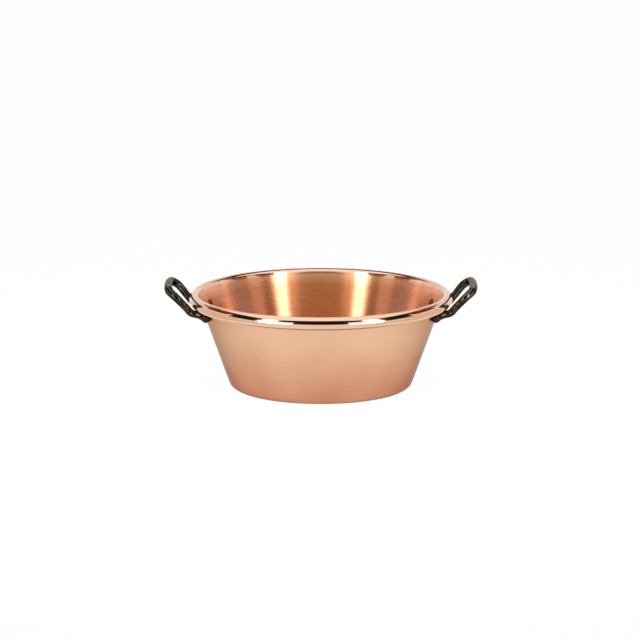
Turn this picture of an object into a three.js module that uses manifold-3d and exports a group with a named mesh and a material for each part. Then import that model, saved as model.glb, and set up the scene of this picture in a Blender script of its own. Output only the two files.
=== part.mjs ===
// Copper preserving pan: a flared, spun copper pan with a curled rim and two fixed cast-iron
// loop handles, each held by two copper rivets. Millimetres, +Z up, origin at the middle of the
// underside of the base. The handles stand at -X (left) and +X (right), and -Y is the front.
import * as THREE from 'three';
import { mergeVertices } from 'three/addons/utils/BufferGeometryUtils.js';
import Module from 'manifold-3d';

const wasm = await Module();
wasm.setup();

// Pan sheet
const RIM_DIAMETER = 380;
const PAN_HEIGHT = 138;
const WALL_FLARE = THREE.MathUtils.degToRad(19.7); // wall, measured from upright
const SHEET = 1.5;
const BASE_CORNER_RADIUS = 13; // outside radius between base and wall

// Curled rim: the sheet runs over an oval that leans in at the top and droops at the outside
const CURL_WIDTH = 13.6;
const CURL_DEPTH = 17.2;
const CURL_LEAN = THREE.MathUtils.degToRad(22);
const CURL_MOUTH = 3; // left open between the free edge and the wall

// Rivets
const RIVET_BELOW_CURL = 9.3; // where its axis leaves the wall, under the lowest point of the curl
const RIVET_SPREAD = 104; // between the two rivets of one handle
const SHANK_DIAMETER = 6;
const HEAD_DIAMETER = 10.5; // factory head, inside the pan
const HEAD_HEIGHT = 2.6;
const TAIL_DIAMETER = 9; // hammered end, on the handle foot
const TAIL_HEIGHT = 2.4;

// Handles
const BOSS_DIAMETER = 14.5; // round foot on the wall
const BOSS_HEIGHT = 8.5;
const BOSS_EDGE = 1.6; // rounding of the foot's outer edge
const NECK_DIAMETER = 10.8; // iron where it bends round under the curl
const NECK_SPREAD = 84; // between the two necks of one handle
const NECK_CLEARANCE = 1.9; // between the neck and the curl
const NECK_STATIONS = [-95, -60, -25].map(THREE.MathUtils.degToRad); // round the curl, from level
const GRIP_WIDTH = 11.5; // grip section across the loop
const GRIP_THICKNESS = 12.5; // grip section square to the loop
const GRIP_SPREAD = 96; // widest distance between the two arms
const GRIP_REACH = 29.8; // middle of the grip beyond the edge of the rim
const GRIP_RISE = 10.8; // middle of the grip above the top of the rim
const GRIP_DEPTH = 16; // rounded end of the loop, along its slope
const GRIP_SLOPE = THREE.MathUtils.degToRad(37.5);
const GRIP_SQUARENESS = 2.8; // 2 is an ellipse, and more is squarer
const GRIP_STATIONS = [-1, -0.85, -0.5, 0, 0.5, 0.85, 1]; // shares of half the spread
const SWELL_START = 0.3; // share of the way from a foot to the middle of the grip
const SWELL_END = 0.75;

// Fits
const FIT_GAP = 0.3; // between pieces that seat on each other
const HOLE_CLEARANCE = 0.3; // round each rivet's shank
const SPOT_CLEARANCE = 0.8; // round each rivet's hammered end

// Facets
const PAN_SIDES = 72;
const CURL_STEPS = 13;
const CORNER_STEPS = 5;
const DOME_STEPS = 4;
const RIVET_SIDES = 16;
const BOSS_SIDES = 32;
const BAR_SIDES = 12;
const BAR_RINGS = 42;

const copper = { color: 0xd98e63, roughness: 0.28, metalness: 1 };
const castIron = { color: 0x1d1c1a, roughness: 0.45, metalness: 0.6 };

// Solids from closed geometry, and named meshes from solids

function solid(geometry) {
  const bare = geometry.clone();
  bare.deleteAttribute('normal');
  bare.deleteAttribute('uv');
  const merged = mergeVertices(bare);
  const corners = merged.index.array;
  const kept = [];
  for (let i = 0; i < corners.length; i += 3) {
    const [a, b, c] = corners.slice(i, i + 3);
    if (a !== b && b !== c && c !== a) kept.push(a, b, c);
  }
  const vertProperties = new Float32Array(merged.attributes.position.array);
  const triVerts = new Uint32Array(kept);
  return new wasm.Manifold(new wasm.Mesh({ numProp: 3, vertProperties, triVerts }));
}

function namedMesh(name, body, finish) {
  const { vertProperties, triVerts } = body.getMesh();
  const geometry = new THREE.BufferGeometry();
  geometry.setAttribute('position', new THREE.BufferAttribute(vertProperties, 3));
  geometry.setIndex(new THREE.BufferAttribute(triVerts, 1));
  geometry.computeVertexNormals();
  const mesh = new THREE.Mesh(geometry, new THREE.MeshStandardMaterial(finish));
  mesh.name = name;
  return mesh;
}

// A profile of [radius, height] points turned about Z. It starts at the foot of the axis, keeps the
// metal on its left and ends back on the axis.
function revolve(profile, sides) {
  const points = profile.map(([radius, height]) => new THREE.Vector2(radius, height));
  return new THREE.LatheGeometry(points, sides).rotateX(Math.PI / 2);
}

// A bar on the Z axis between two heights.
function roundBar(radius, from, to) {
  return new THREE.CylinderGeometry(radius, radius, to - from, RIVET_SIDES)
    .rotateX(Math.PI / 2)
    .translate(0, 0, (from + to) / 2);
}

function ovalArc(centre, wide, tall, from, to, steps) {
  const points = [];
  for (let i = 0; i <= steps; i += 1) {
    const angle = THREE.MathUtils.lerp(from, to, i / steps);
    points.push([centre[0] + wide * Math.cos(angle), centre[1] + tall * Math.sin(angle)]);
  }
  return points;
}

// Curled rim, as a section in [radius, height]

const curlWide = CURL_WIDTH / 2;
const curlLong = CURL_DEPTH / 2;
const leanCos = Math.cos(CURL_LEAN);
const leanSin = Math.sin(CURL_LEAN);
const curlHalfHeight = Math.hypot(curlWide * leanSin, curlLong * leanCos);
const curlCentre = [
  RIM_DIAMETER / 2 - Math.hypot(curlWide * leanCos, curlLong * leanSin),
  PAN_HEIGHT - curlHalfHeight,
];

// The oval's point at an angle from its short axis, moved in from its surface by an inset.
function curlPoint(angle, inset) {
  const slope = [Math.cos(angle) / curlWide, Math.sin(angle) / curlLong];
  const steepness = Math.hypot(...slope);
  const across = curlWide * Math.cos(angle) - (inset * slope[0]) / steepness;
  const along = curlLong * Math.sin(angle) - (inset * slope[1]) / steepness;
  return [
    curlCentre[0] + across * leanCos - along * leanSin,
    curlCentre[1] + across * leanSin + along * leanCos,
  ];
}

// The wall runs into the curl where the oval faces the way the inside of the wall does.
const wallFacing = Math.PI - WALL_FLARE - CURL_LEAN;
const curlStart = Math.atan2(curlLong * Math.sin(wallFacing), curlWide * Math.cos(wallFacing));
const wallTop = curlPoint(curlStart, SHEET);
const flare = Math.tan(WALL_FLARE);

// Radius of the wall's outer face at a height.
function wallRadius(height) {
  return wallTop[0] + (height - wallTop[1]) * flare;
}

// The free edge goes round and up behind the curl until only its mouth is left.
function curlEnd() {
  const step = THREE.MathUtils.degToRad(1);
  let angle = -Math.PI / 2;
  let gap = Infinity;
  while (gap > CURL_MOUTH) {
    angle -= step;
    const [radius, height] = curlPoint(angle, 0);
    gap = (radius - wallRadius(height)) * Math.cos(WALL_FLARE);
  }
  return angle;
}

function curlSide(inset, from, to) {
  const points = [];
  for (let i = 0; i <= CURL_STEPS; i += 1) {
    points.push(curlPoint(THREE.MathUtils.lerp(from, to, i / CURL_STEPS), inset));
  }
  return points;
}

function panProfile() {
  const centre = [
    wallRadius(BASE_CORNER_RADIUS) - BASE_CORNER_RADIUS / Math.cos(WALL_FLARE),
    BASE_CORNER_RADIUS,
  ];
  const corner = (radius, from, to) => ovalArc(centre, radius, radius, from, to, CORNER_STEPS);
  const end = curlEnd();
  return [
    [0, 0],
    ...corner(BASE_CORNER_RADIUS, -Math.PI / 2, -WALL_FLARE),
    ...curlSide(SHEET, curlStart, end),
    ...curlSide(0, end, curlStart),
    ...corner(BASE_CORNER_RADIUS - SHEET, -WALL_FLARE, -Math.PI / 2),
    [0, SHEET],
  ];
}

// All that lies inside the wall's outer face, grown by the gap under the handle feet.
function wallEnvelope() {
  const gap = FIT_GAP / Math.cos(WALL_FLARE);
  return solid(revolve([
    [0, 0],
    [wallRadius(0) + gap, 0],
    [wallRadius(PAN_HEIGHT) + gap, PAN_HEIGHT],
    [0, PAN_HEIGHT],
  ], PAN_SIDES));
}

// Rivets. Each has a frame on the wall's outer face: X round the pan, Y up the wall, Z out of it.

const rivetHeight = curlCentre[1] - curlHalfHeight - RIVET_BELOW_CURL;
const rivetTurn = Math.asin(RIVET_SPREAD / 2 / wallRadius(rivetHeight));

function rivetFrame(turn) {
  const outwards = new THREE.Vector3(Math.cos(WALL_FLARE), 0, -Math.sin(WALL_FLARE));
  const upwards = new THREE.Vector3(Math.sin(WALL_FLARE), 0, Math.cos(WALL_FLARE));
  return new THREE.Matrix4().makeRotationZ(turn)
    .multiply(new THREE.Matrix4().makeTranslation(wallRadius(rivetHeight), 0, rivetHeight))
    .multiply(new THREE.Matrix4().makeBasis(new THREE.Vector3(0, 1, 0), upwards, outwards));
}

function rivetHole(turn) {
  const reach = BOSS_HEIGHT + TAIL_HEIGHT + HEAD_HEIGHT;
  const bar = roundBar(SHANK_DIAMETER / 2 + HOLE_CLEARANCE, -reach, reach);
  return solid(bar.applyMatrix4(rivetFrame(turn)));
}

function rivet(turn) {
  const headSeat = -SHEET - FIT_GAP;
  const tailSeat = BOSS_HEIGHT + FIT_GAP;
  const quarter = Math.PI / 2;
  const profile = [
    ...ovalArc([0, headSeat], HEAD_DIAMETER / 2, HEAD_HEIGHT, -quarter, 0, DOME_STEPS),
    [SHANK_DIAMETER / 2, headSeat],
    [SHANK_DIAMETER / 2, tailSeat],
    ...ovalArc([0, tailSeat], TAIL_DIAMETER / 2, TAIL_HEIGHT, 0, quarter, DOME_STEPS),
  ];
  return solid(revolve(profile, RIVET_SIDES).applyMatrix4(rivetFrame(turn)));
}

// Handle bar: from one foot, round under the curl, up the slope, across the grip and back down

function footPoint(side) {
  const inFoot = new THREE.Vector3(-side * SHANK_DIAMETER / 2, 0, BOSS_HEIGHT / 2);
  return inFoot.applyMatrix4(rivetFrame(side * rivetTurn));
}

// A point of the neck, which keeps its distance from the curl as it turns round it.
function neckPoint(side, angle, spread) {
  const distance = curlLong + NECK_CLEARANCE + NECK_DIAMETER / 2;
  const radius = curlCentre[0] + distance * Math.cos(angle);
  const offset = spread / 2;
  return new THREE.Vector3(
    Math.sqrt(radius * radius - offset * offset),
    side * offset,
    curlCentre[1] + distance * Math.sin(angle),
  );
}

// A point of the grip: a squared-off half oval that lies on the slope.
function gripPoint(share) {
  const fall = 1 - (1 - Math.abs(share) ** GRIP_SQUARENESS) ** (1 / GRIP_SQUARENESS);
  return new THREE.Vector3(
    RIM_DIAMETER / 2 + GRIP_REACH - fall * GRIP_DEPTH * Math.cos(GRIP_SLOPE),
    share * GRIP_SPREAD / 2,
    PAN_HEIGHT + GRIP_RISE - fall * GRIP_DEPTH * Math.sin(GRIP_SLOPE),
  );
}

// The neck leaves the foot half way over to its own line and then stays on it.
function handlePath() {
  const spreads = [(RIVET_SPREAD + NECK_SPREAD) / 2, NECK_SPREAD, NECK_SPREAD];
  const arm = (side) => [
    footPoint(side),
    ...NECK_STATIONS.map((angle, i) => neckPoint(side, angle, spreads[i])),
  ];
  const points = [...arm(-1), ...GRIP_STATIONS.map(gripPoint), ...arm(1).reverse()];
  return new THREE.CatmullRomCurve3(points, false, 'centripetal');
}

// An oval section carried along the path, swelling from the necks to the grip.
function handleBar() {
  const path = handlePath();
  const loopNormal = new THREE.Vector3(-Math.sin(GRIP_SLOPE), 0, Math.cos(GRIP_SLOPE));
  const positions = [];
  for (let ring = 0; ring <= BAR_RINGS; ring += 1) {
    const share = ring / BAR_RINGS;
    const centre = path.getPointAt(share);
    const tangent = path.getTangentAt(share);
    const thick = loopNormal.clone().addScaledVector(tangent, -loopNormal.dot(tangent)).normalize();
    const wide = new THREE.Vector3().crossVectors(tangent, thick);
    const climb = 1 - Math.abs(2 * share - 1);
    const swell = THREE.MathUtils.smoothstep(climb, SWELL_START, SWELL_END);
    const halfThick = THREE.MathUtils.lerp(NECK_DIAMETER, GRIP_THICKNESS, swell) / 2;
    const halfWide = THREE.MathUtils.lerp(NECK_DIAMETER, GRIP_WIDTH, swell) / 2;
    for (let corner = 0; corner < BAR_SIDES; corner += 1) {
      const angle = (2 * Math.PI * corner) / BAR_SIDES;
      const point = centre.clone()
        .addScaledVector(thick, halfThick * Math.cos(angle))
        .addScaledVector(wide, halfWide * Math.sin(angle));
      positions.push(...point.toArray());
    }
  }
  const faces = [];
  for (let ring = 0; ring < BAR_RINGS; ring += 1) {
    for (let corner = 0; corner < BAR_SIDES; corner += 1) {
      const a = ring * BAR_SIDES + corner;
      const b = ring * BAR_SIDES + ((corner + 1) % BAR_SIDES);
      faces.push(a, b, a + BAR_SIDES, b, b + BAR_SIDES, a + BAR_SIDES);
    }
  }
  const last = BAR_RINGS * BAR_SIDES;
  for (let corner = 1; corner < BAR_SIDES - 1; corner += 1) {
    faces.push(0, corner + 1, corner, last, last + corner, last + corner + 1);
  }
  const geometry = new THREE.BufferGeometry();
  geometry.setAttribute('position', new THREE.Float32BufferAttribute(positions, 3));
  geometry.setIndex(faces);
  return solid(geometry);
}

// Round foot with a softened edge. It starts inside the wall, and the wall's envelope then trims it.
function boss(turn) {
  const radius = BOSS_DIAMETER / 2;
  const edgeCentre = [radius - BOSS_EDGE, BOSS_HEIGHT - BOSS_EDGE];
  const profile = [
    [0, -SHEET],
    [radius, -SHEET],
    ...ovalArc(edgeCentre, BOSS_EDGE, BOSS_EDGE, 0, Math.PI / 2, DOME_STEPS),
    [0, BOSS_HEIGHT],
  ];
  return solid(revolve(profile, BOSS_SIDES).applyMatrix4(rivetFrame(turn)));
}

// Flat, cut into the foot and the start of the bar, on which the rivet's end is hammered down.
function spotFace(turn) {
  const radius = TAIL_DIAMETER / 2 + SPOT_CLEARANCE;
  const bar = roundBar(radius, BOSS_HEIGHT, 2 * BOSS_HEIGHT);
  return solid(bar.applyMatrix4(rivetFrame(turn)));
}

function handle() {
  let body = handleBar();
  for (const turn of [-rivetTurn, rivetTurn]) body = body.add(boss(turn));
  body = body.subtract(wallEnvelope());
  for (const turn of [-rivetTurn, rivetTurn]) {
    body = body.subtract(rivetHole(turn)).subtract(spotFace(turn));
  }
  return body;
}

function pan() {
  let body = solid(revolve(panProfile(), PAN_SIDES));
  for (const side of [0, Math.PI]) {
    for (const turn of [-rivetTurn, rivetTurn]) body = body.subtract(rivetHole(side + turn));
  }
  return body;
}

// Assembly: the handles and rivets are built at +X, and the left set is turned half round the pan.

const preservingPan = new THREE.Group();
preservingPan.add(namedMesh('pan_body', pan(), copper));
for (const [side, turn, front, rear] of [['right', 0, -1, 1], ['left', Math.PI, 1, -1]]) {
  const set = new THREE.Group();
  set.rotation.z = turn;
  set.add(namedMesh(`${side}_handle`, handle(), castIron));
  set.add(namedMesh(`${side}_front_rivet`, rivet(front * rivetTurn), copper));
  set.add(namedMesh(`${side}_rear_rivet`, rivet(rear * rivetTurn), copper));
  preservingPan.add(set);
}

export default preservingPan;
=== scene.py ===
# %% [markdown]
# # A copper preserving pan
#
# The pan is spun from one copper sheet, with a flat base, a flared wall and a hollow curled rim.
# Two cast-iron loop handles stand on its sides, and each is held by two copper rivets. The packed
# solids give every size, so this lesson starts by loading them as a fixed frame. Everything made
# here is in metres and sits where those solids are.

# %% Load the frame
import math

import bpy
import numpy as np
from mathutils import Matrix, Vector


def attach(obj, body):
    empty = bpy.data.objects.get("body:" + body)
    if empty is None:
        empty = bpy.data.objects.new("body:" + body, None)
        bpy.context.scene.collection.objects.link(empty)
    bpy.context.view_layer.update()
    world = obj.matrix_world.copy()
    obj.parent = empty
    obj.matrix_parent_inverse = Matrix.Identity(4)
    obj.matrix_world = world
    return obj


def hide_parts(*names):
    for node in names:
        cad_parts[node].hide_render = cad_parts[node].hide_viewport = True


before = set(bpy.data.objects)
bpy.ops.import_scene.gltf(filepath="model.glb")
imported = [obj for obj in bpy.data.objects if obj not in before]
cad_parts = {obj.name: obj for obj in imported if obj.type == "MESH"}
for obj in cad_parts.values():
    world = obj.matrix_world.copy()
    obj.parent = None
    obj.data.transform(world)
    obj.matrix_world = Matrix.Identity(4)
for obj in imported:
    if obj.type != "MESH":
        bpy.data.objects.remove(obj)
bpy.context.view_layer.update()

# %% [markdown]
# ## From arrays to meshes
#
# Every piece below is a grid of points: a profile turned about an axis, or a section carried along
# a path. Blender's Screw modifier or a bevelled curve could make such shapes too. Whole arrays of
# points are used instead, because every radius and gap is then an exact number, and because
# numbers can be stored on the points for the materials to read, such as how polished the metal is
# there. One helper puts points and faces into a mesh.

# %% A helper that makes a piece
MM = 0.001


def new_mesh(name, points, faces, **numbers):
    """A smooth mesh from points and groups of faces, with named numbers per point.

    A group is an array with one row per face, and a row holds the numbers of its corners.
    """
    mesh = bpy.data.meshes.new(name)
    mesh.from_pydata(points.tolist(), [], sum((group.tolist() for group in faces), []))
    mesh.polygons.foreach_set("use_smooth", np.ones(len(mesh.polygons), bool))
    for label, values in numbers.items():
        attribute = mesh.attributes.new(label, "FLOAT", "POINT")
        attribute.data.foreach_set("value", np.asarray(values, np.float32))
    mesh.update()
    return mesh


def new_object(name, mesh):
    """An object at the origin, unturned and unscaled, that shows the mesh."""
    piece = bpy.data.objects.new(name, mesh)
    bpy.context.scene.collection.objects.link(piece)
    return piece


def face_count(faces):
    """How many faces all groups have together."""
    return sum(map(len, faces))


print("1 m is", round(1 / MM), "mm")


# %% A helper that turns a profile
def joined_rings(count, sides):
    """Corner numbers of rings of points, their neighbours, and quads from each ring to the next."""
    corner = np.arange(count * sides).reshape(count, sides)
    beside = np.roll(corner, -1, axis=1)
    quads = np.stack([corner[:-1], beside[:-1], beside[1:], corner[1:]], axis=-1)
    return corner, beside, quads.reshape(-1, 4)


def turn(profile, sides):
    """Points (radius, height) turned about Z: x = radius cos a, y = radius sin a, z = height.

    The profile starts and ends on the axis, and those two points become poles. Quads join each
    ring to the next one, and triangles join the first and last rings to the poles.
    """
    angle = np.linspace(0, 2 * np.pi, sides, endpoint=False)
    ring = profile[1:-1]
    across = ring[:, :1] * np.cos(angle)
    deep = ring[:, :1] * np.sin(angle)
    tall = np.repeat(ring[:, 1:], sides, axis=1)
    poles = [[0, 0, profile[0, 1]], [0, 0, profile[-1, 1]]]
    points = np.concatenate([np.stack([across, deep, tall], axis=-1).reshape(-1, 3), poles])

    corner, beside, quads = joined_rings(len(ring), sides)
    under = np.full(sides, len(points) - 2)
    over = np.full(sides, len(points) - 1)
    first = np.stack([under, beside[0], corner[0]], axis=-1)
    last = np.stack([over, corner[-1], beside[-1]], axis=-1)
    return points, [quads, first, last]


drum_points, drum_faces = turn(np.array([[0, 0], [1, 0], [1, 1], [0, 1]]), 12)
print("trial drum of 12 sides:", len(drum_points), "points,", face_count(drum_faces), "faces")

# %% [markdown]
# ## The pan's section
#
# On the real pan the wall runs straight up from a rounded corner, and the last few centimetres are
# rolled outwards over a former until the edge nearly meets the wall again. The section of that roll
# is an oval that leans in at its top. One line with a Solidify modifier would do for the wall, but
# the roll needs its free edge, so the profile draws both faces of the sheet: up the outside, round
# the inside of the roll, over its free edge and back.

# %% Sizes of the pan
SHEET = 1.5 * MM
RIM_RADIUS = 190 * MM
PAN_HEIGHT = 138 * MM
FLARE = math.radians(19.7)
CORNER = 13 * MM
CURL_WIDE = 6.8 * MM
CURL_LONG = 8.6 * MM
CURL_LEAN = math.radians(22)
CURL_MOUTH = 3 * MM

lean = np.array([math.cos(CURL_LEAN), math.sin(CURL_LEAN)])
curl_centre = np.array([
    RIM_RADIUS - math.hypot(CURL_WIDE * lean[0], CURL_LONG * lean[1]),
    PAN_HEIGHT - math.hypot(CURL_WIDE * lean[1], CURL_LONG * lean[0]),
])
curl_low = 2 * curl_centre[1] - PAN_HEIGHT
print("roll centre in mm:", (curl_centre / MM).round(2))


# %% The roll
def curl(angle, inset):
    """A leaning oval, moved in from its surface along its own normal by an inset.

    Before the lean, the point is (wide cos a, long sin a) - inset n, with n the unit vector along
    (cos a / wide, sin a / long). The lean turns it about the roll's centre.
    """
    angle = np.atleast_1d(angle)
    normal = np.stack([np.cos(angle) / CURL_WIDE, np.sin(angle) / CURL_LONG], axis=-1)
    normal /= np.linalg.norm(normal, axis=1, keepdims=True)
    oval = np.stack([CURL_WIDE * np.cos(angle), CURL_LONG * np.sin(angle)], axis=-1)
    oval = oval - inset * normal
    across = oval @ np.array([lean[0], -lean[1]])
    upward = oval @ np.array([lean[1], lean[0]])
    return curl_centre + np.stack([across, upward], axis=-1)


facing = math.pi - FLARE - CURL_LEAN
curl_start = math.atan2(CURL_LONG * math.sin(facing), CURL_WIDE * math.cos(facing))
wall_top = curl(curl_start, SHEET)[0]


def wall_radius(height):
    """Radius of the wall's outer face: a straight line at the flare through its top point."""
    return wall_top[0] + (height - wall_top[1]) * math.tan(FLARE)


def curl_end():
    """Angle at which the roll's free edge leaves only its mouth open, from a fine table.

    The table runs from the bottom of the roll, at -90 degrees, to well up behind it.
    """
    angle = np.linspace(-0.5, -1.2, 1401) * math.pi
    edge = curl(angle, 0)
    gap = (edge[:, 0] - wall_radius(edge[:, 1])) * math.cos(FLARE)
    return angle[np.argmax(gap < CURL_MOUTH)]


roll_end = curl_end()
print("the roll turns through", round(math.degrees(curl_start - roll_end)), "degrees")

# %% The whole section
BASE_STEPS, CORNER_STEPS, WALL_STEPS = 14, 20, 26
ROLL_STEPS_WITHIN, ROLL_STEPS_OUTSIDE, EDGE_STEPS = 56, 96, 9


def arc(centre, radius, start, end, steps):
    """Points (radius, height) on a circle: centre + radius (cos a, sin a)."""
    a = np.linspace(start, end, steps)[:, None]
    return centre + radius * np.concatenate([np.cos(a), np.sin(a)], axis=1)


def straight(start, end, steps):
    """Points spaced evenly between two others, both left out."""
    share = np.linspace(0, 1, steps + 2)[1:-1, None]
    return np.asarray(start) * (1 - share) + np.asarray(end) * share


def pan_section():
    """The closed section, and for each point: polish, 1 on the roll, and inside, 1 in the pan.

    The free edge is half a circle from one face of the sheet to the other.
    """
    centre = np.array([wall_radius(CORNER) - CORNER / math.cos(FLARE), CORNER])
    down = -math.pi / 2
    under = arc(centre, CORNER, down, -FLARE, CORNER_STEPS)
    within = arc(centre, CORNER - SHEET, -FLARE, down, CORNER_STEPS)
    turn_in = curl(np.linspace(curl_start, roll_end, ROLL_STEPS_WITHIN), SHEET)
    turn_out = curl(np.linspace(roll_end, curl_start, ROLL_STEPS_OUTSIDE), 0)
    middle = (turn_in[-1] + turn_out[0]) / 2
    half = (turn_out[0] - turn_in[-1]) / 2
    forward = np.array([half[1], -half[0]])
    half_turn = np.linspace(0, math.pi, EDGE_STEPS)[1:-1, None]
    edge = middle - half * np.cos(half_turn) + forward * np.sin(half_turn)
    runs = [
        ([[0, 0]], 0, 0), (straight([0, 0], under[0], BASE_STEPS), 0, 0), (under, 0, 0),
        (straight(under[-1], turn_in[0], WALL_STEPS), 0, 0), (turn_in, 1, 0), (edge, 1, 0),
        (turn_out, 1, 1), (straight(turn_out[-1], within[0], WALL_STEPS), 0, 1), (within, 0, 1),
        (straight(within[-1], [0, SHEET], BASE_STEPS), 0, 1), ([[0, SHEET]], 0, 1),
    ]
    section = np.concatenate([np.asarray(points) for points, _, _ in runs])
    polish = np.concatenate([np.full(len(points), float(p)) for points, p, _ in runs])
    inside = np.concatenate([np.full(len(points), float(i)) for points, _, i in runs])
    return section, polish, inside


section, polish, inside = pan_section()
steps = np.linalg.norm(np.diff(section, axis=0), axis=1)
sweep = np.concatenate([[0], np.cumsum(steps)])
print("section:", len(section), "points,", round(sweep[-1] / MM), "mm round")

# %% [markdown]
# ## The pan
#
# Turning the section gives the whole sheet at once, as spinning does on the lathe. The polish
# should fade over a few millimetres where the buffing wheel stopped. It could be painted on by
# hand, but a running mean along the section does it evenly and keeps the number between 0 and 1.

# %% Turn the section
PAN_SIDES = 240
BUFFING_FADE = 5 * MM


def fade(values, places, width):
    """Each value becomes the mean of those within half a width of its place along the section."""
    near = np.abs(places[:, None] - places[None, :]) < width / 2
    spacing = np.gradient(places)
    return (near * values * spacing).sum(1) / (near * spacing).sum(1)


def per_ring(values, sides):
    """Numbers along a profile, repeated round each ring, with the two poles at the end."""
    return np.concatenate([np.repeat(values[1:-1], sides), values[[0, -1]]])


pan_points, pan_faces = turn(section, PAN_SIDES)
pan_numbers = {
    "polish": per_ring(fade(polish, sweep, BUFFING_FADE), PAN_SIDES),
    "inside": per_ring(inside, PAN_SIDES),
    "sweep": per_ring(sweep, PAN_SIDES),
}
pan = new_object("pan", new_mesh("pan", pan_points, pan_faces, **pan_numbers))
print("pan:", face_count(pan_faces), "faces")

# %% [markdown]
# ## Where the rivets sit
#
# Each rivet goes square through the sloping wall, so it needs a small frame of its own: one axis
# round the pan, one up the wall and one straight out of it. An empty at that place could carry the
# pieces, but finished pieces must sit at the origin, so points worked out in the small frame are
# carried to their place with one matrix product.

# %% Frames on the wall
RIVET_BELOW_CURL = 9.3 * MM
RIVET_SPREAD = 104 * MM
rivet_height = curl_low - RIVET_BELOW_CURL
rivet_turn = math.asin(RIVET_SPREAD / 2 / wall_radius(rivet_height))


def about_z(points, angle):
    """Points turned about the pan's axis."""
    c, s = math.cos(angle), math.sin(angle)
    return points @ np.array([[c, s, 0], [-s, c, 0], [0, 0, 1]])


seat = np.array([wall_radius(rivet_height), 0, rivet_height])
seat_axes = np.array([
    [0, 1, 0],
    [math.sin(FLARE), 0, math.cos(FLARE)],
    [math.cos(FLARE), 0, -math.sin(FLARE)],
])


def on_wall(points, angle):
    """Points (round, up, out) on the wall at a rivet, carried into the pan's frame."""
    return about_z(points @ seat_axes + seat, angle)


def off_wall(points, angle):
    """The reverse: points of the pan's frame as (round, up, out) at a rivet."""
    return (about_z(points, -angle) - seat) @ seat_axes.T


print("rivets at", round(math.degrees(rivet_turn), 2), "degrees each side of a handle's middle")

# %% [markdown]
# ## The handle's bar
#
# A handle is one iron casting. Its bar leaves the foot, bends round under the roll, climbs outwards
# and crosses over as the grip. A bevelled curve could follow that path, but its section would stay
# the same all along. Here an oval is carried along a curve through a few points, and it is thickest
# in the grip, where the hand holds it.

# %% Points of the path
NECK_DIAMETER = 10.8 * MM
NECK_SPREAD = 84 * MM
NECK_CLEARANCE = 1.9 * MM
NECK_STATIONS = np.radians([-95, -60, -25])
GRIP_WIDTH = 11.4 * MM
GRIP_THICKNESS = 12.4 * MM
GRIP_SPREAD = 96 * MM
GRIP_REACH = 29.8 * MM
GRIP_RISE = 10.8 * MM
GRIP_DEPTH = 16 * MM
GRIP_SLOPE = math.radians(37.5)
GRIP_SQUARENESS = 2.8
GRIP_STATIONS = np.array([-1, -0.85, -0.5, 0, 0.5, 0.85, 1])
SHANK_RADIUS = 3 * MM
BOSS_HEIGHT = 8.5 * MM


def arm_points(side):
    """The foot, then three points at one distance from the roll's centre, as it bends round it."""
    foot = on_wall(np.array([[-side * SHANK_RADIUS, 0, BOSS_HEIGHT / 2]]), side * rivet_turn)
    reach = CURL_LONG + NECK_CLEARANCE + NECK_DIAMETER / 2
    radius = curl_centre[0] + reach * np.cos(NECK_STATIONS)
    offset = np.array([(RIVET_SPREAD + NECK_SPREAD) / 4, NECK_SPREAD / 2, NECK_SPREAD / 2])
    out = np.sqrt(radius**2 - offset**2)
    up = curl_centre[1] + reach * np.sin(NECK_STATIONS)
    return np.concatenate([foot, np.stack([out, side * offset, up], axis=-1)])


def grip_points():
    """A squared-off half oval on the slope: it falls back by 1 - (1 - |share|^n)^(1/n)."""
    fall = 1 - (1 - np.abs(GRIP_STATIONS) ** GRIP_SQUARENESS) ** (1 / GRIP_SQUARENESS)
    out = RIM_RADIUS + GRIP_REACH - fall * GRIP_DEPTH * math.cos(GRIP_SLOPE)
    up = PAN_HEIGHT + GRIP_RISE - fall * GRIP_DEPTH * math.sin(GRIP_SLOPE)
    return np.stack([out, GRIP_STATIONS * GRIP_SPREAD / 2, up], axis=-1)


path_points = np.concatenate([arm_points(-1), grip_points(), arm_points(1)[::-1]])
print("path:", len(path_points), "points from foot to foot")

# %% A smooth curve through the points
SPAN_STEPS = 200
BAR_RINGS = 180


def smooth_path(points, count):
    """A centripetal Catmull-Rom curve through the points, at evenly spaced lengths.

    Between two points it is a cubic whose end slopes come from the neighbours, with each span timed
    by the square root of its chord. A fine table of lengths then gives the even spacing.
    """
    ends = [2 * points[0] - points[1]], [2 * points[-1] - points[-2]]
    p = np.concatenate([ends[0], points, ends[1]])
    time = np.sqrt(np.linalg.norm(np.diff(p, axis=0), axis=1))[:, None]
    before, span, after = time[:-2], time[1:-1], time[2:]
    p0, p1, p2, p3 = p[:-3], p[1:-2], p[2:-1], p[3:]
    leave = span * ((p1 - p0) / before - (p2 - p0) / (before + span) + (p2 - p1) / span)
    arrive = span * ((p2 - p1) / span - (p3 - p1) / (span + after) + (p3 - p2) / after)
    t = np.linspace(0, 1, SPAN_STEPS, endpoint=False)[None, :, None]
    square, cube = t**2, t**3
    fine = (
        (2 * cube - 3 * square + 1) * p1[:, None] + (cube - 2 * square + t) * leave[:, None]
        + (3 * square - 2 * cube) * p2[:, None] + (cube - square) * arrive[:, None]
    ).reshape(-1, 3)
    fine = np.concatenate([fine, points[-1:]])
    run = np.concatenate([[0], np.cumsum(np.linalg.norm(np.diff(fine, axis=0), axis=1))])
    even = np.linspace(0, run[-1], count)
    return np.stack([np.interp(even, run, fine[:, k]) for k in range(3)], axis=-1), run[-1]


bar_path, bar_length = smooth_path(path_points, BAR_RINGS)
print("bar:", round(bar_length / MM), "mm from foot to foot")

# %% The bar
BAR_SIDES = 36
SWELL_FROM, SWELL_TO = 0.3, 0.75


def smoothstep(value, low, high):
    """0 below low, 1 above high, and 3 s^2 - 2 s^3 between."""
    s = np.clip((value - low) / (high - low), 0, 1)
    return s * s * (3 - 2 * s)


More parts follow.
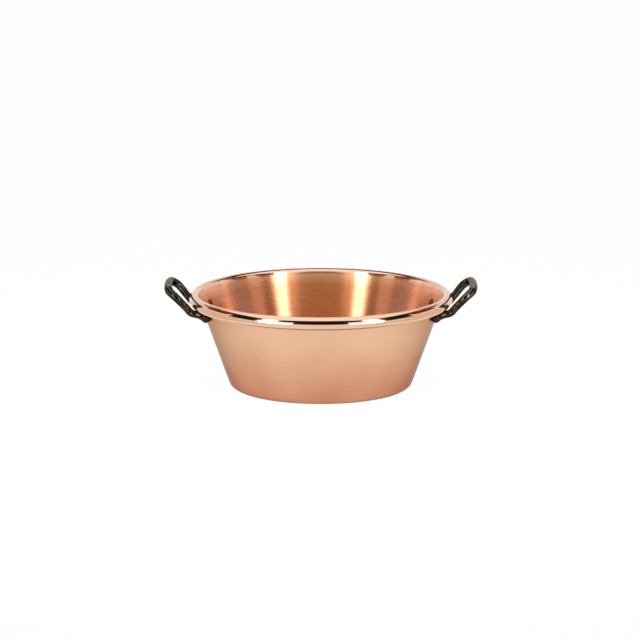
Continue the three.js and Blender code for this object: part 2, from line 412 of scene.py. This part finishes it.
def carried_oval(path, sides):
    """An oval section carried along a path: centre + thick cos a + wide sin a.

    One axis of the section stays as near as it can to the loop's own normal, and the other is
    square to it and to the path. Both grow from the neck's size to the grip's.
    """
    tangent = np.gradient(path, axis=0)
    tangent /= np.linalg.norm(tangent, axis=1, keepdims=True)
    loop = np.array([-math.sin(GRIP_SLOPE), 0, math.cos(GRIP_SLOPE)])
    thick = loop - (tangent @ loop)[:, None] * tangent
    thick /= np.linalg.norm(thick, axis=1, keepdims=True)
    wide = np.cross(tangent, thick)
    climb = 1 - np.abs(np.linspace(-1, 1, len(path)))
    swell = smoothstep(climb, SWELL_FROM, SWELL_TO)[:, None]
    half_thick = (NECK_DIAMETER + (GRIP_THICKNESS - NECK_DIAMETER) * swell) / 2
    half_wide = (NECK_DIAMETER + (GRIP_WIDTH - NECK_DIAMETER) * swell) / 2
    a = np.linspace(0, 2 * np.pi, sides, endpoint=False)[None, :, None]
    ring = path[:, None] + (half_thick * thick)[:, None] * np.cos(a)
    return ring + (half_wide * wide)[:, None] * np.sin(a)


def tube(rings):
    """Points and faces of a closed bar: quads along it and one flat face at each end."""
    corner, _, quads = joined_rings(*rings.shape[:2])
    return rings.reshape(-1, 3), [quads, np.stack([corner[0, ::-1], corner[-1]])]


bar_points, bar_faces = tube(carried_oval(bar_path, BAR_SIDES))
print("bar:", face_count(bar_faces), "faces")

# %% [markdown]
# ## The handle's feet
#
# Each foot is a round boss with a soft edge, and it sits on a wall that curves away, so its lower
# face follows that curve. A casting has no sharp inside corners. A Boolean would leave them sharp,
# so bar and feet are joined into one skin of small, even faces instead, and smoothing that skin
# leaves the small hollows that a mould gives.

# %% One foot
BOSS_RADIUS = 7.25 * MM
BOSS_EDGE = 3.6 * MM
BOSS_SIDES = 48
EDGE_RINGS, SIDE_RINGS = 8, 6
FIT_GAP = 0.3 * MM
ROUNDING = 1e-9


def foot(angle):
    """A turned boss, whose lower ring drops by round^2 / 2R to follow the wall's curve."""
    edge_centre = np.array([BOSS_RADIUS - BOSS_EDGE, BOSS_HEIGHT - BOSS_EDGE])
    edge = arc(edge_centre, BOSS_EDGE, 0, math.pi / 2, EDGE_RINGS)
    low = np.array([[0, FIT_GAP], [BOSS_RADIUS / 2, FIT_GAP], [BOSS_RADIUS, FIT_GAP]])
    side = straight(low[-1], edge[0], SIDE_RINGS)
    points, faces = turn(np.concatenate([low, side, edge, [[0, BOSS_HEIGHT]]]), BOSS_SIDES)
    seated = points[:, 2] <= FIT_GAP + ROUNDING
    bend = wall_radius(rivet_height) / math.cos(FLARE)
    points[:, 2] -= seated * points[:, 0] ** 2 / (2 * bend)
    return on_wall(points, angle), faces


def joined(parts):
    """Several closed skins as one: each part's corner numbers start after the points before it."""
    start = np.cumsum([0] + [len(points) for points, _ in parts])
    faces = [group + s for s, (_, part) in zip(start, parts) for group in part]
    return np.concatenate([points for points, _ in parts]), faces


rough_points, rough_faces = joined(
    [(bar_points, bar_faces), foot(-rivet_turn), foot(rivet_turn)])
print("before joining:", face_count(rough_faces), "faces in three skins")

# %% One cast skin
GRAIN = 0.7 * MM
SMOOTHING = 5


def cast(points, faces, grain, smoothing):
    """The outside of overlapping skins as one mesh, from Remesh and then Smooth modifiers."""
    rough = new_object("rough_casting", new_mesh("rough_casting", points, faces))
    remesh = rough.modifiers.new("one_skin", "REMESH")
    remesh.mode = "VOXEL"
    remesh.voxel_size = grain
    smooth = rough.modifiers.new("mould_hollows", "SMOOTH")
    smooth.factor = 0.5
    smooth.iterations = smoothing
    depsgraph = bpy.context.evaluated_depsgraph_get()
    mesh = bpy.data.meshes.new_from_object(rough.evaluated_get(depsgraph))
    bpy.data.objects.remove(rough)
    found = np.empty(3 * len(mesh.vertices), np.float32)
    mesh.vertices.foreach_get("co", found)
    return mesh, found.reshape(-1, 3).astype(float)


casting, cast_points = cast(rough_points, rough_faces, GRAIN, SMOOTHING)
print("casting:", len(casting.polygons), "faces")

# %% [markdown]
# ## Flats on the feet, and the second handle
#
# The rivet's end is hammered down on a flat that is cut into the foot and into the start of the
# bar. Cutting with a Boolean would bring back sharp slivers, so every point of the casting that
# stands over that flat is brought down to it. Both handles come from one pattern, and the left one
# is the right one turned by half a turn.

# %% Flats for the rivets
TAIL_RADIUS = 4.5 * MM
SPOT_CLEARANCE = 0.8 * MM
for angle in (-rivet_turn, rivet_turn):
    local = off_wall(cast_points, angle)
    over = np.hypot(local[:, 0], local[:, 1]) < TAIL_RADIUS + SPOT_CLEARANCE
    over &= (local[:, 2] > BOSS_HEIGHT) & (local[:, 2] < 2 * BOSS_HEIGHT)
    local[over, 2] = BOSS_HEIGHT
    cast_points = np.where(over[:, None], on_wall(local, angle), cast_points)
    print("flat:", int(over.sum()), "points")

# %% Two handles
handles = {}
for side, angle in (("right", 0.0), ("left", math.pi)):
    mesh = casting.copy()
    mesh.name = f"{side}_iron"
    mesh.vertices.foreach_set("co", about_z(cast_points, angle).astype(np.float32).ravel())
    mesh.polygons.foreach_set("use_smooth", np.ones(len(mesh.polygons), bool))
    mesh.update()
    handles[side] = new_object(f"{side}_iron", mesh)
bpy.data.meshes.remove(casting)
print("handles:", {side: len(piece.data.polygons) for side, piece in handles.items()})

# %% [markdown]
# ## Rivets
#
# A rivet comes with a smooth round head, which stays inside the pan. Its other end is hammered over
# on the foot, so that end is lower, less regular and a little flattened. Half a sphere would do for
# the head, but one turned profile gives head, shank and end together, and a few waves round the
# axis then dent the hammered end.

# %% Four rivets
HEAD_RADIUS = 5.25 * MM
HEAD_HEIGHT = 2.6 * MM
HEAD_SINK = 0.1 * MM
TAIL_HEIGHT = 2.4 * MM
TAIL_FLATNESS = 0.8
DENT = 0.04
DENT_STEP = 1.7
RIVET_SIDES, DOME_RINGS = 48, 14


def rivet(angle, seed):
    """A turned rivet: dome, shank and hammered end, and how far out each point lies, 0 to 1.

    The end shrinks by DENT (1 + dents), where dents adds waves of three and five round the axis.
    """
    quarter = np.linspace(0, math.pi / 2, DOME_RINGS)
    head = HEAD_SINK - SHEET
    tail = BOSS_HEIGHT - FIT_GAP
    dome = np.stack([HEAD_RADIUS * np.sin(quarter), head - HEAD_HEIGHT * np.cos(quarter)], axis=-1)
    bar = np.array([[SHANK_RADIUS, head], [SHANK_RADIUS, tail]])
    rise = TAIL_HEIGHT * np.sin(quarter) ** TAIL_FLATNESS
    end = np.stack([TAIL_RADIUS * np.cos(quarter), tail + rise], axis=-1)
    points, faces = turn(np.concatenate([dome, bar, end]), RIVET_SIDES)
    turned = np.arctan2(points[:, 1], points[:, 0])
    dents = 0.5 * np.cos(3 * turned + seed) + 0.5 * np.cos(5 * turned + 2 * seed)
    beaten = points[:, 2] > tail
    points[:, :2] *= 1 - DENT * (beaten * (1 + dents))[:, None]
    return on_wall(points, angle), faces, np.clip(points[:, 2] / BOSS_HEIGHT, 0, 1)


rivets = {}
for side, half_turn, front in (("right", 0.0, -1), ("left", math.pi, 1)):
    for end, sign in (("front", front), ("rear", -front)):
        name = f"{side}_{end}_rivet"
        points, faces, outer = rivet(sign * rivet_turn, DENT_STEP * len(rivets))
        mesh = new_mesh(f"{name}_copper", about_z(points, half_turn), faces, outer=outer)
        rivets[name] = new_object(f"{name}_copper", mesh)
print("rivets:", sorted(rivets))

# %% [markdown]
# ## Shader maths as Python
#
# A material is a graph of nodes, and sums are long-winded when each one is placed by hand in the
# shader editor. The class below stands for one socket, so that a sum is written as a sum: adding or
# multiplying two of them places a Math node. One method places any other node, with its settings
# first and then the values or links of its sockets, and a few short ones name the usual nodes.


# %% A socket that can be added and multiplied
class Field:
    """One output socket in a node tree."""

    def __init__(self, tree, socket=None):
        self.tree, self.socket = tree, socket

    def node(self, kind, settings=None, values=None, output=0):
        """Places a node, sets it up, fills or links its sockets, and returns one output."""
        made = self.tree.nodes.new(kind)
        for name, setting in (settings or {}).items():
            setattr(made, name, setting)
        for name, value in (values or {}).items():
            if isinstance(value, Field):
                self.tree.links.new(value.socket, made.inputs[name])
            else:
                made.inputs[name].default_value = value
        return Field(self.tree, made.outputs[output]) if made.outputs else None

    def math(self, operation, *terms):
        """A Math node on fields and numbers."""
        return self.node("ShaderNodeMath", {"operation": operation}, dict(enumerate(terms)))

    def __add__(self, other):
        return self.math("ADD", self, other)

    def __sub__(self, other):
        return self.math("SUBTRACT", self, other)

    def __rsub__(self, other):
        return self.math("SUBTRACT", other, self)

    def __mul__(self, other):
        return self.math("MULTIPLY", self, other)

    __radd__, __rmul__ = __add__, __mul__

    def ramp(self, start, width):
        """0 at the start and 1 a width further on: (value - start) / width."""
        return (self - start) * (1 / width)

    def middle_third(self):
        """A pattern's middle third spread over 0 to 1, for more contrast: 3 value - 1."""
        return self * 3 - 1

    def blend(self, first, second):
        """Two colours mixed, with this number as the share of the second."""
        return self.node("ShaderNodeMix", {"data_type": "RGBA", "clamp_factor": True},
                         {0: self, 6: first, 7: second}, output=2)

    def noise(self, vector, scale, detail, roughness):
        """A noise pattern between 0 and 1 that is read at a vector."""
        return self.node("ShaderNodeTexNoise", None, {
            "Vector": vector, "Scale": scale, "Detail": detail, "Roughness": roughness})

    def axis(self, number):
        """One of a vector's three numbers: 0 for x, 1 for y and 2 for z."""
        return self.node("ShaderNodeSeparateXYZ", None, {0: self}, output=number)

    def place(self):
        """Where a point lies on its piece, in metres."""
        return self.node("ShaderNodeTexCoord", output=3)

    def stored(self, label):
        """A number that a piece keeps on its points."""
        return self.node("ShaderNodeAttribute", {"attribute_name": label}, output=2)

    def bump(self, height, strength, depth):
        """A normal that tilts as if the surface had this height."""
        return self.node("ShaderNodeBump", None, {
            "Strength": strength, "Distance": depth, "Height": height})


def new_material(name):
    """An empty material, and its tree to place nodes in."""
    material = bpy.data.materials.new(name)
    material.use_nodes = True
    material.node_tree.nodes.clear()
    return material, Field(material.node_tree)


print("shader methods:", [name for name in vars(Field) if not name.startswith("_")])

# %% [markdown]
# ## Copper
#
# The sheet has three finishes. The outside was brushed while it turned and is satin, and shade is
# painted into its colour: darker and redder towards its foot, where it reflects the shadowed table,
# and a dark line in the crease under the roll. The inside was brushed in the same way, has a glossy
# film over it and is paler near its top. The roll was buffed bright and mirrors the studio.
# Photographs of metal could be wrapped round the pan, but patterns made of numbers stay sharp from
# every side. Brushed lines stretch reflections up the wall and leave them sharp across it, which is
# what the shader's anisotropy does. The lines are noise that is read far more densely along the
# section than round the pan, and the numbers on the points mix the three surfaces.

# %% Colours and patterns of the sheet
COPPER_ROLL = (0.83, 0.56, 0.42, 1)
COPPER_ROLL_WARM = (0.80, 0.51, 0.36, 1)
COPPER_OUTSIDE = (0.80, 0.485, 0.312, 1)
# painted shade: a darker, redder colour for the outside near its foot
COPPER_FOOT_SHADE = (0.56, 0.215, 0.115, 1)
COPPER_INSIDE = (0.73, 0.257, 0.078, 1)
COPPER_INSIDE_DEEP = (0.67, 0.225, 0.066, 1)
COPPER_INSIDE_TOP = (0.94, 0.455, 0.22, 1)
# painted shade: the dark line in the crease under the roll
COPPER_CREASE_SHADE = (0.24, 0.11, 0.065, 1)
SATIN_EDGE = (0.50, 0.47, 0.47, 1)
FOOT_SHADE_FADE = 100 * MM
CREASE_SHADE_FROM = curl_low - 4.3 * MM
CREASE_SHADE_FADE = 1.2 * MM
PALE_TOP_FROM = 115 * MM
PALE_TOP_FADE = 17 * MM
BRUSH_DEPTH = 0.3 * MM
QUARTER_TURN = 0.25

copper_sheet, tree = new_material("copper_sheet")
place = tree.place()
across, deep, height = place.axis(0), place.axis(1), place.axis(2)
along = tree.stored("sweep")


def brushed_lines(round_scale, along_scale):
    """Noise in lines round the pan: (x, y) stretched little and the sweep stretched a lot."""
    vector = tree.node("ShaderNodeCombineXYZ", None, {
        0: across * round_scale, 1: deep * round_scale, 2: along * along_scale})
    return tree.noise(vector, scale=1.0, detail=3.0, roughness=0.6)


fine = brushed_lines(round_scale=12, along_scale=1800)
coarse = brushed_lines(round_scale=5, along_scale=320)
clouds = tree.noise(place, scale=14.0, detail=3.0, roughness=0.55)
lines = fine * 0.6 + coarse * 0.4
print("patterns of the sheet:", len(copper_sheet.node_tree.nodes), "nodes")

# %% Three surfaces of the sheet
# Painted shade: the outside grows darker and redder towards its foot, where it reflects the
# shadowed table, with some noise.
foot_shade = 0.92 - height * (1 / FOOT_SHADE_FADE) + (clouds - 0.5) * 0.5 + (coarse - 0.5) * 0.25
outer_colour = foot_shade.blend(COPPER_OUTSIDE, COPPER_FOOT_SHADE)
# Painted shade: a thin dark line in the crease just under the roll.
outer_colour = height.ramp(CREASE_SHADE_FROM, CREASE_SHADE_FADE).blend(outer_colour, COPPER_CREASE_SHADE)
inner_colour = (coarse * 1.4 + clouds * 0.6 - 0.5).blend(COPPER_INSIDE, COPPER_INSIDE_DEEP)
inner_colour = height.ramp(PALE_TOP_FROM, PALE_TOP_FADE).blend(inner_colour, COPPER_INSIDE_TOP)
roll_colour = clouds.middle_third().blend(COPPER_ROLL, COPPER_ROLL_WARM)
satin = tree.node("ShaderNodeBsdfPrincipled", None, {
    "Base Color": outer_colour, "Metallic": 1.0, "Specular Tint": SATIN_EDGE,
    "Anisotropic": 0.5, "Anisotropic Rotation": QUARTER_TURN,
    "Roughness": 0.30 + (lines - 0.5) * 0.10,
    "Normal": tree.bump(lines, strength=0.06, depth=BRUSH_DEPTH)})
brushed = tree.node("ShaderNodeBsdfPrincipled", None, {
    "Base Color": inner_colour, "Metallic": 1.0,
    "Anisotropic": 1.0, "Anisotropic Rotation": QUARTER_TURN,
    "Roughness": 0.27 + (lines - 0.5) * 0.05,
    "Normal": tree.bump(lines, strength=0.008, depth=BRUSH_DEPTH),
    "Coat Weight": 0.85, "Coat Roughness": 0.17, "Coat IOR": 1.75})
polished = tree.node("ShaderNodeBsdfPrincipled", None, {
    "Base Color": roll_colour, "Metallic": 1.0, "Roughness": 0.08 + (clouds - 0.5) * 0.04})
wall = tree.node("ShaderNodeMixShader", None, {0: tree.stored("inside"), 1: satin, 2: brushed})
sheet = tree.node("ShaderNodeMixShader", None, {0: tree.stored("polish"), 1: wall, 2: polished})
tree.node("ShaderNodeOutputMaterial", None, {"Surface": sheet})
pan.data.materials.append(copper_sheet)
print("copper sheet:", len(copper_sheet.node_tree.nodes), "nodes")

# %% [markdown]
# Rivets are the same metal, but no wheel reaches them. They have gone brown, and their hammered
# ends are the darkest. One noise mottles the colour and the gloss, and a coarser one dents the
# surface, which is far less work than modelling each hammer mark.

# %% Copper of the rivets
RIVET_BROWN = (0.22, 0.080, 0.038, 1)
RIVET_DARK = (0.09, 0.033, 0.017, 1)
RIVET_END = (0.060, 0.030, 0.028, 1)
copper_rivet, tree = new_material("copper_rivet")
mottle = tree.noise(tree.place(), scale=900.0, detail=3.0, roughness=0.6)
beaten = tree.noise(tree.place(), scale=350.0, detail=1.0, roughness=0.4)
colour = tree.stored("outer").blend(mottle.blend(RIVET_BROWN, RIVET_DARK), RIVET_END)
surface = tree.node("ShaderNodeBsdfPrincipled", None, {
    "Base Color": colour, "Metallic": 1.0, "Roughness": 0.30 + mottle * 0.16,
    "Normal": tree.bump(beaten, strength=0.35, depth=0.6 * MM)})
tree.node("ShaderNodeOutputMaterial", None, {"Surface": surface})
for piece in rivets.values():
    piece.data.materials.append(copper_rivet)
print("copper rivet:", len(copper_rivet.node_tree.nodes), "nodes")

# %% [markdown]
# ## Black iron
#
# The castings are finished in smooth black over a faint, fine unevenness from the mould. Use has
# worn that finish into grey patches, which show on the grip. Light and shade are painted in by
# height too: the arms are painted darker, a painted shade, and the very top of the grip is painted
# pale, a painted highlight that the wear noise breaks up. The feet next to the copper are browner.
# Wear could be painted on by hand, but noise, the height and the distance from the pan's axis
# place the wear, the painted shade, the painted highlight and the browner feet.

# %% Iron
IRON_BLACK = (0.016, 0.014, 0.012, 1)
# painted shade: the darker colour of the arms
IRON_ARM_SHADE = (0.078, 0.060, 0.048, 1)
IRON_GRIP = (0.175, 0.156, 0.134, 1)
# painted highlight: the pale top of the grip
IRON_TOP_HIGHLIGHT = (0.42, 0.40, 0.375, 1)
IRON_FOOT = (0.050, 0.026, 0.024, 1)
IRON_EDGE = (0.34, 0.32, 0.30, 1)
ARM_SHADE_TOP = 135 * MM
ARM_SHADE_FADE = 10 * MM
TOP_HIGHLIGHT_FROM = 151.2 * MM
TOP_HIGHLIGHT_FADE = 3 * MM
BROWN_WITHIN = 188 * MM
BROWN_FADE = 8 * MM

black_iron, tree = new_material("black_iron")
place = tree.place()
height = place.axis(2)
mould = tree.noise(place, scale=420.0, detail=4.0, roughness=0.6)
wear = tree.noise(place, scale=60.0, detail=3.0, roughness=0.55)
# Painted shade: below a height the wear colour turns darker, so the arms are darker than the grip.
wear_with_arm_shade = height.ramp(ARM_SHADE_TOP, ARM_SHADE_FADE).blend(IRON_ARM_SHADE, IRON_GRIP)
colour = wear.middle_third().blend(IRON_BLACK, wear_with_arm_shade)
# Painted highlight: the top of the grip is painted pale, broken up by the wear noise.
top_highlight = height.ramp(TOP_HIGHLIGHT_FROM, TOP_HIGHLIGHT_FADE) + (wear - 0.5) * 3.0
colour = top_highlight.blend(colour, IRON_TOP_HIGHLIGHT)
# The feet, close to the pan's wall, are browner.
level = tree.node("ShaderNodeVectorMath", {"operation": "MULTIPLY"}, {0: place, 1: (1, 1, 0)})
radius = tree.node("ShaderNodeVectorMath", {"operation": "LENGTH"}, {0: level}, output=1)
colour = radius.ramp(BROWN_WITHIN, -BROWN_FADE).blend(colour, IRON_FOOT)
surface = tree.node("ShaderNodeBsdfPrincipled", None, {
    "Base Color": colour, "Metallic": 1.0, "Specular Tint": IRON_EDGE,
    "Roughness": 0.06 + wear * 0.12,
    "Normal": tree.bump(mould, strength=0.13, depth=0.5 * MM)})
tree.node("ShaderNodeOutputMaterial", None, {"Surface": surface})
for piece in handles.values():
    piece.data.materials.append(black_iron)
print("black iron:", len(black_iron.node_tree.nodes), "nodes")

# %% [markdown]
# ## Tying the pieces to the frame
#
# The pan has no moving parts, so every piece rides on the one body. Each stands for a packed solid,
# which is hidden.

# %% Ride and replace
for piece, node, slot in (
    [(pan, "pan_body", "copper_sheet")]
    + [(piece, f"{side}_handle", "black_iron") for side, piece in handles.items()]
    + [(piece, name, "copper_rivet") for name, piece in rivets.items()]
):
    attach(piece, "root")
    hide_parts(node)

# %% [markdown]
# ## The studio's table and backdrop
#
# Polished metal shows the room more than itself, so the room is part of the finish. A picture of a
# real room could be wrapped round the scene, but a table, a few lamps and a few sheets can each be
# moved until their reflection lies where it should. The table and the backdrop are white to the
# camera, to reflections and to glass. All other rays find a plain matt table and a softer sky, so
# that white adds no light to the pan and the table keeps a faint shadow.

# %% Floor and backdrop
FLOOR_HALF = 30.0
FLOOR_GREY = (0.71, 0.71, 0.71, 1)
WHITE = (1, 1, 1, 1)
FLOOR_WHITENESS = 0.94
FLOOR_STRENGTH = 1.03


def seen(tree):
    """1 for rays from the camera, off shiny surfaces and through glass, and 0 for the rest."""
    camera, shiny, glass = (tree.node("ShaderNodeLightPath", output=k) for k in (0, 3, 6))
    return camera + shiny + glass


corners = np.array([[-1, -1, 0], [1, -1, 0], [1, 1, 0], [-1, 1, 0]]) * FLOOR_HALF
corners[:, 2] = -FIT_GAP
floor = new_object("floor", new_mesh("floor", corners, [np.array([[0, 1, 2, 3]])]))
floor_white, tree = new_material("floor_white")
matt = tree.node("ShaderNodeBsdfDiffuse", None, {"Color": FLOOR_GREY})
white = tree.node("ShaderNodeEmission", None, {"Color": WHITE, "Strength": FLOOR_STRENGTH})
table = tree.node("ShaderNodeMixShader", None, {
    0: seen(tree) * FLOOR_WHITENESS, 1: matt, 2: white})
tree.node("ShaderNodeOutputMaterial", None, {"Surface": table})
floor.data.materials.append(floor_white)
print("floor:", 2 * FLOOR_HALF, "m across")

# %% World
SKY_LIGHT = 0.53
world = bpy.data.worlds.new("white_studio")
bpy.context.scene.world = world
world.use_nodes = True
world.node_tree.nodes.clear()
tree = Field(world.node_tree)
backdrop = tree.node("ShaderNodeBackground", None, {
    "Color": WHITE, "Strength": SKY_LIGHT + (1 - SKY_LIGHT) * seen(tree)})
tree.node("ShaderNodeOutputWorld", None, {"Surface": backdrop})
print("world: white to the camera,", SKY_LIGHT, "as light")

# %% [markdown]
# ## Lamps
#
# A wide soft lamp hangs over the pan. A tall one on either side of the camera makes the two bright
# bands inside, and a low panel next to it makes the white patches on the front of the roll. Point
# lamps would leave small hard dots on polished metal, so all of them are flat and large.

# %% Lights
LAMP_DISTANCE = 1.2
OVERHEAD = {"wide": 0.80, "tall": 0.66, "brightness": 1.2}
SIDE_LIGHT = {"wide": 0.262, "tall": 0.98, "brightness": 7.5}
BOUNCE = {"wide": 0.33, "tall": 0.34, "brightness": 2.3}
OVERHEAD_PLACE = Vector((0, -0.10, 0.49))
SIDE_AZIMUTH, SIDE_HEIGHT = 44.5, 0.51
BOUNCE_AZIMUTH, BOUNCE_HEIGHT = 30.5, 0.17


def direction(azimuth, elevation):
    """Unit vector: azimuth 0 is towards the camera, positive to the right."""
    a, e = math.radians(azimuth), math.radians(elevation)
    return Vector((math.sin(a) * math.cos(e), -math.cos(a) * math.cos(e), math.sin(e)))


def lamp(name, place, back, wide, tall, brightness):
    """A rectangular lamp with its back that way: its power is brightness x area x pi."""
    light = bpy.data.lights.new(name, "AREA")
    light.shape = "RECTANGLE"
    light.size, light.size_y = wide, tall
    light.energy = brightness * wide * tall * math.pi
    stand = bpy.data.objects.new(name, light)
    stand.location = place
    stand.rotation_euler = back.to_track_quat("Z", "Y").to_euler()
    stand.visible_camera = False
    bpy.context.scene.collection.objects.link(stand)


def standing_lamp(name, azimuth, height, **size):
    """An upright lamp on a circle round the pan, which faces the pan's axis."""
    back = direction(azimuth, 0)
    lamp(name, LAMP_DISTANCE * back + Vector((0, 0, height)), back, **size)


lamp("overhead", OVERHEAD_PLACE, Vector((0, 0, 1)), **OVERHEAD)
for side, name in ((-1, "left"), (1, "right")):
    standing_lamp(f"{name}_light", side * SIDE_AZIMUTH, SIDE_HEIGHT, **SIDE_LIGHT)
    standing_lamp(f"{name}_bounce", side * BOUNCE_AZIMUTH, BOUNCE_HEIGHT, **BOUNCE)

# %% [markdown]
# ## Screens
#
# Between the lamps stand screens that only reflections see. Black ones leave the dark bars that
# give the roll its shape, brown and russet ones draw the thin lines along it, tan ones warm its two
# ends, and a pale one keeps the back of the rim bright. Dark stripes could be painted on the roll,
# but they would not move with the view as reflections do. A screen is either part of a dome round
# the pan, an upright card, or a sheet on the table that stands up at its far end.

# %% Shapes of screens
DOME_ROWS = 17
DOME_CENTRE = [0, 0, 0.1]
SHEET_LIFT = 0.002


def dome(azimuth, lowest, highest, distance):
    """Part of a sphere round the pan, from a lowest elevation, which may vary, to a highest one."""
    share = np.linspace(0, 1, DOME_ROWS)[:, None]
    a = np.radians(azimuth) + 0 * share
    e = np.radians(lowest * (1 - share) + highest * share) + 0 * a
    outward = np.stack([np.sin(a) * np.cos(e), -np.cos(a) * np.cos(e), np.sin(e)], axis=-1)
    return distance * outward + DOME_CENTRE


def card(side, line, low, high):
    """An upright flat card over a line on the table, on one side, between two heights."""
    x, y = np.transpose(line)
    z = np.array([[low], [high]]) + 0 * x
    return np.stack([side * x + 0 * z, y + 0 * z, z], axis=-1)


def low_sheet(side, inner, outer, front, back, high):
    """A sheet on one side that lies on the table from inner to outer and then stands up."""
    y = np.array([[front], [back]]) + np.zeros(3)
    x = side * np.array([inner, outer, outer])
    z = np.array([SHEET_LIFT, SHEET_LIFT, high])
    return np.stack([x + 0 * y, y, z + 0 * y], axis=-1)


def screen(name, points, material):
    """A sheet through a grid of points, which only reflections see."""
    corner = np.arange(points.shape[0] * points.shape[1]).reshape(points.shape[:2])
    faces = np.stack([
        corner[:-1, :-1], corner[:-1, 1:], corner[1:, 1:], corner[1:, :-1]], axis=-1)
    made = new_object(name, new_mesh(name, points.reshape(-1, 3), [faces.reshape(-1, 4)]))
    made.data.materials.append(material)
    made.visible_camera = made.visible_diffuse = made.visible_shadow = False


print("a dome has", DOME_ROWS, "rows of points")


# %% Colours of screens
def screen_material(name, colour):
    """A surface that shows one colour in reflections, whatever light falls on it."""
    material, tree = new_material(name)
    glow = tree.node("ShaderNodeEmission", None, {"Color": colour, "Strength": 1.0})
    tree.node("ShaderNodeOutputMaterial", None, {"Surface": glow})
    return material


black = screen_material("screen_black", (0.020, 0.013, 0.010, 1))
russet = screen_material("screen_russet", (0.18, 0.045, 0.009, 1))
pale = screen_material("screen_pale", (0.92, 0.90, 0.88, 1))
brown = screen_material("screen_brown", (0.22, 0.12, 0.07, 1))
tan = screen_material("screen_tan", (0.87, 0.765, 0.685, 1))
print("screen colours:", [m.name for m in (black, russet, pale, brown, tan)])

# %% Places of screens
all_round = np.linspace(-180, 180, 97)
ahead = np.linspace(-23.5, 23.5, 25)
behind = np.linspace(115, 245, 49)
beside = np.linspace(112, 148, 25)
ceiling_edge = 24 + 17 * smoothstep(np.abs(all_round), 60, 130)
CEILING = {"lowest": ceiling_edge, "highest": 89.9, "distance": 3.0}
FRONT_SCREEN = {"lowest": -1.5, "highest": 25, "distance": 3.0}
REAR_SCREEN = {"lowest": 3.0, "highest": 43, "distance": 3.1}
BROWN_CARD = {"lowest": 27.0, "highest": 43, "distance": 2.9}
FRONT_CARD = {"line": [(0.42, -0.14), (1.0, -0.72)], "low": 0.20, "high": 1.0}
REAR_CARD = {"line": [(0.85, -0.07), (0.85, 0.42)], "low": 0.43, "high": 1.0}
LOW_CARD = {"inner": 0.28, "outer": 1.2, "front": -0.40, "back": 1.5, "high": 0.36}

screen("dark_ceiling", dome(all_round, **CEILING), black)
screen("front_screen", dome(ahead, **FRONT_SCREEN), black)
screen("rear_screen", dome(behind, **REAR_SCREEN), pale)
for side, name in ((-1, "left"), (1, "right")):
    screen(f"{name}_front_card", card(side, **FRONT_CARD), black)
    screen(f"{name}_rear_card", card(side, **REAR_CARD), russet)
    screen(f"{name}_low_card", low_sheet(side, **LOW_CARD), tan)
    screen(f"{name}_brown_card", dome(side * beside, **BROWN_CARD), brown)
stage = [o.name for o in bpy.context.scene.objects if o.type == "MESH"]
print("screens:", [name for name in stage if name.endswith(("ceiling", "screen", "card"))])

# %% [markdown]
# ## Camera
#
# The pan was photographed from far away with a long lens, a little above its rim. A near camera
# with a short lens would make the rim's front too wide, so the camera stands six metres off, and
# the lens follows from how many pixels of the square picture the pan fills.

# %% Camera
PICTURE = 640
FOCAL_PIXELS = 4150.8
SENSOR = 36.0
CAMERA_DISTANCE = 6.0
CAMERA_ELEVATION = 11.74
FARTHEST = 200.0
aim = Vector((-0.0012, 0, 0.0967))

lens = bpy.data.cameras.new("camera")
lens.sensor_width = SENSOR
lens.lens = FOCAL_PIXELS / PICTURE * SENSOR
lens.clip_end = FARTHEST
camera = bpy.data.objects.new("camera", lens)
back = direction(0, CAMERA_ELEVATION)
camera.location = aim + CAMERA_DISTANCE * back
camera.rotation_euler = back.to_track_quat("Z", "Y").to_euler()
bpy.context.scene.collection.objects.link(camera)
bpy.context.scene.camera = camera
bpy.context.scene.view_settings.view_transform = "Standard"
print("lens:", round(lens.lens, 1), "mm")

# %% [markdown]
